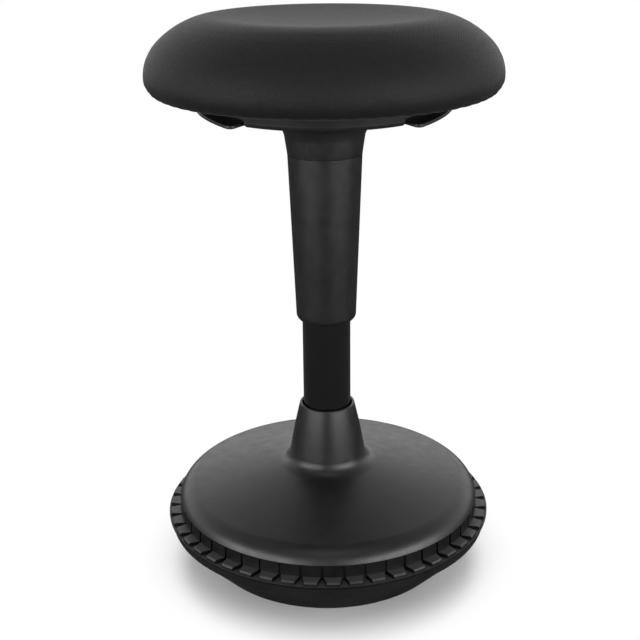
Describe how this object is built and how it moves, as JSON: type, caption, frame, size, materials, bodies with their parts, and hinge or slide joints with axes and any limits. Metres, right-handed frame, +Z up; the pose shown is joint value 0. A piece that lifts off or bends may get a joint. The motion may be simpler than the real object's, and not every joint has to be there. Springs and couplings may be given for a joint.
{
  "type": "wobble stool",
  "caption": "Height-adjustable wobble stool: round padded seat on a sleeved gas lift, standing on a weighted, round-bottomed rocking base with a toothed rubber tread ring.",
  "frame": {"origin": "centre of the flat contact patch under the rubber sole, on the floor", "axes": "+Z up along the gas lift; +X towards the right-hand release lever; -Y is the side the picture was taken from"},
  "size_m": [0.3492, 0.3492, 0.594],
  "materials": {
    "moulded_plastic": "fine-grained satin black moulding",
    "tread_rubber": "matte black rubber",
    "sole_rubber": "matte black rubber",
    "zinc_steel": "zinc-plated steel",
    "cast_weight": "plain casting",
    "plate_enamel": "black powder coat",
    "column_enamel": "gloss black enamel",
    "guide_plastic": "natural slippery plastic",
    "rod_steel": "ground and hard-chromed",
    "seal_rubber": "smooth",
    "valve_brass": "turned",
    "plywood": "bare birch plywood",
    "foam": "open-cell foam",
    "knit_fabric": "black spacer knit"
  },
  "bodies": {
    "rocking_base": {"base_cover": "moulded_plastic", "tread_ring": "tread_rubber", "base_pan": "moulded_plastic", "rubber_sole": "sole_rubber", "cover_screws": "zinc_steel", "ballast_ring": "cast_weight", "ballast_screws": "zinc_steel", "hub_socket": "plate_enamel", "hub_bolts": "zinc_steel", "outer_tube": "column_enamel", "tube_end_cap": "zinc_steel", "guide_bushing": "guide_plastic", "bearing_lower_race": "rod_steel", "bearing_balls": "rod_steel", "bearing_cage": "guide_plastic"},
    "lift_rod": {"bearing_upper_race": "rod_steel", "piston_rod": "rod_steel", "rod_clip": "zinc_steel", "bump_ring": "seal_rubber", "piston": "guide_plastic", "piston_ring": "seal_rubber"},
    "seat_unit": {"pressure_cylinder": "column_enamel", "rod_gland": "guide_plastic", "gland_seal": "seal_rubber", "valve_body": "valve_brass", "sleeve": "moulded_plastic", "seat_shell": "moulded_plastic", "shell_screws": "zinc_steel", "seat_board": "plywood", "t_nuts": "zinc_steel", "seat_plate": "plate_enamel", "plate_bolts": "zinc_steel", "seat_socket": "plate_enamel", "lever_pins": "zinc_steel", "seat_foam": "foam", "seat_cover": "knit_fabric"},
    "left_handle": {"left_lever": "moulded_plastic"},
    "right_handle": {"right_lever": "moulded_plastic"},
    "release_button": {"release_cap": "moulded_plastic", "release_pin": "rod_steel"}
  },
  "joints": [
    {"name": "seat_swivel", "type": "hinge", "parent": "rocking_base", "child": "lift_rod", "pos_m": [0, 0, 0.04], "axis": [0, 0, 1], "continuous": true},
    {"name": "height_slide", "type": "slide", "parent": "lift_rod", "child": "seat_unit", "axis": [0, 0, 1], "range_m": [-0.05, 0.1]},
    {"name": "left_lever_hinge", "type": "hinge", "parent": "seat_unit", "child": "left_handle", "pos_m": [-0.04, 0, 0.511], "axis": [0, 1, 0], "range_deg": [0, 6]},
    {"name": "right_lever_hinge", "type": "hinge", "parent": "seat_unit", "child": "right_handle", "pos_m": [0.04, 0, 0.511], "axis": [0, -1, 0], "range_deg": [0, 6]},
    {"name": "release_slide", "type": "slide", "parent": "seat_unit", "child": "release_button", "axis": [0, 0, -1], "range_m": [0, 0.00275], "stiffness_N_per_m": 60, "springref_m": -0.004}
  ],
  "couplings": [
    {"joint": "right_lever_hinge", "follows": "left_lever_hinge", "ratio": 1},
    {"joint": "release_slide", "follows": "left_lever_hinge", "m_per_rad": 0.026}
  ]
}
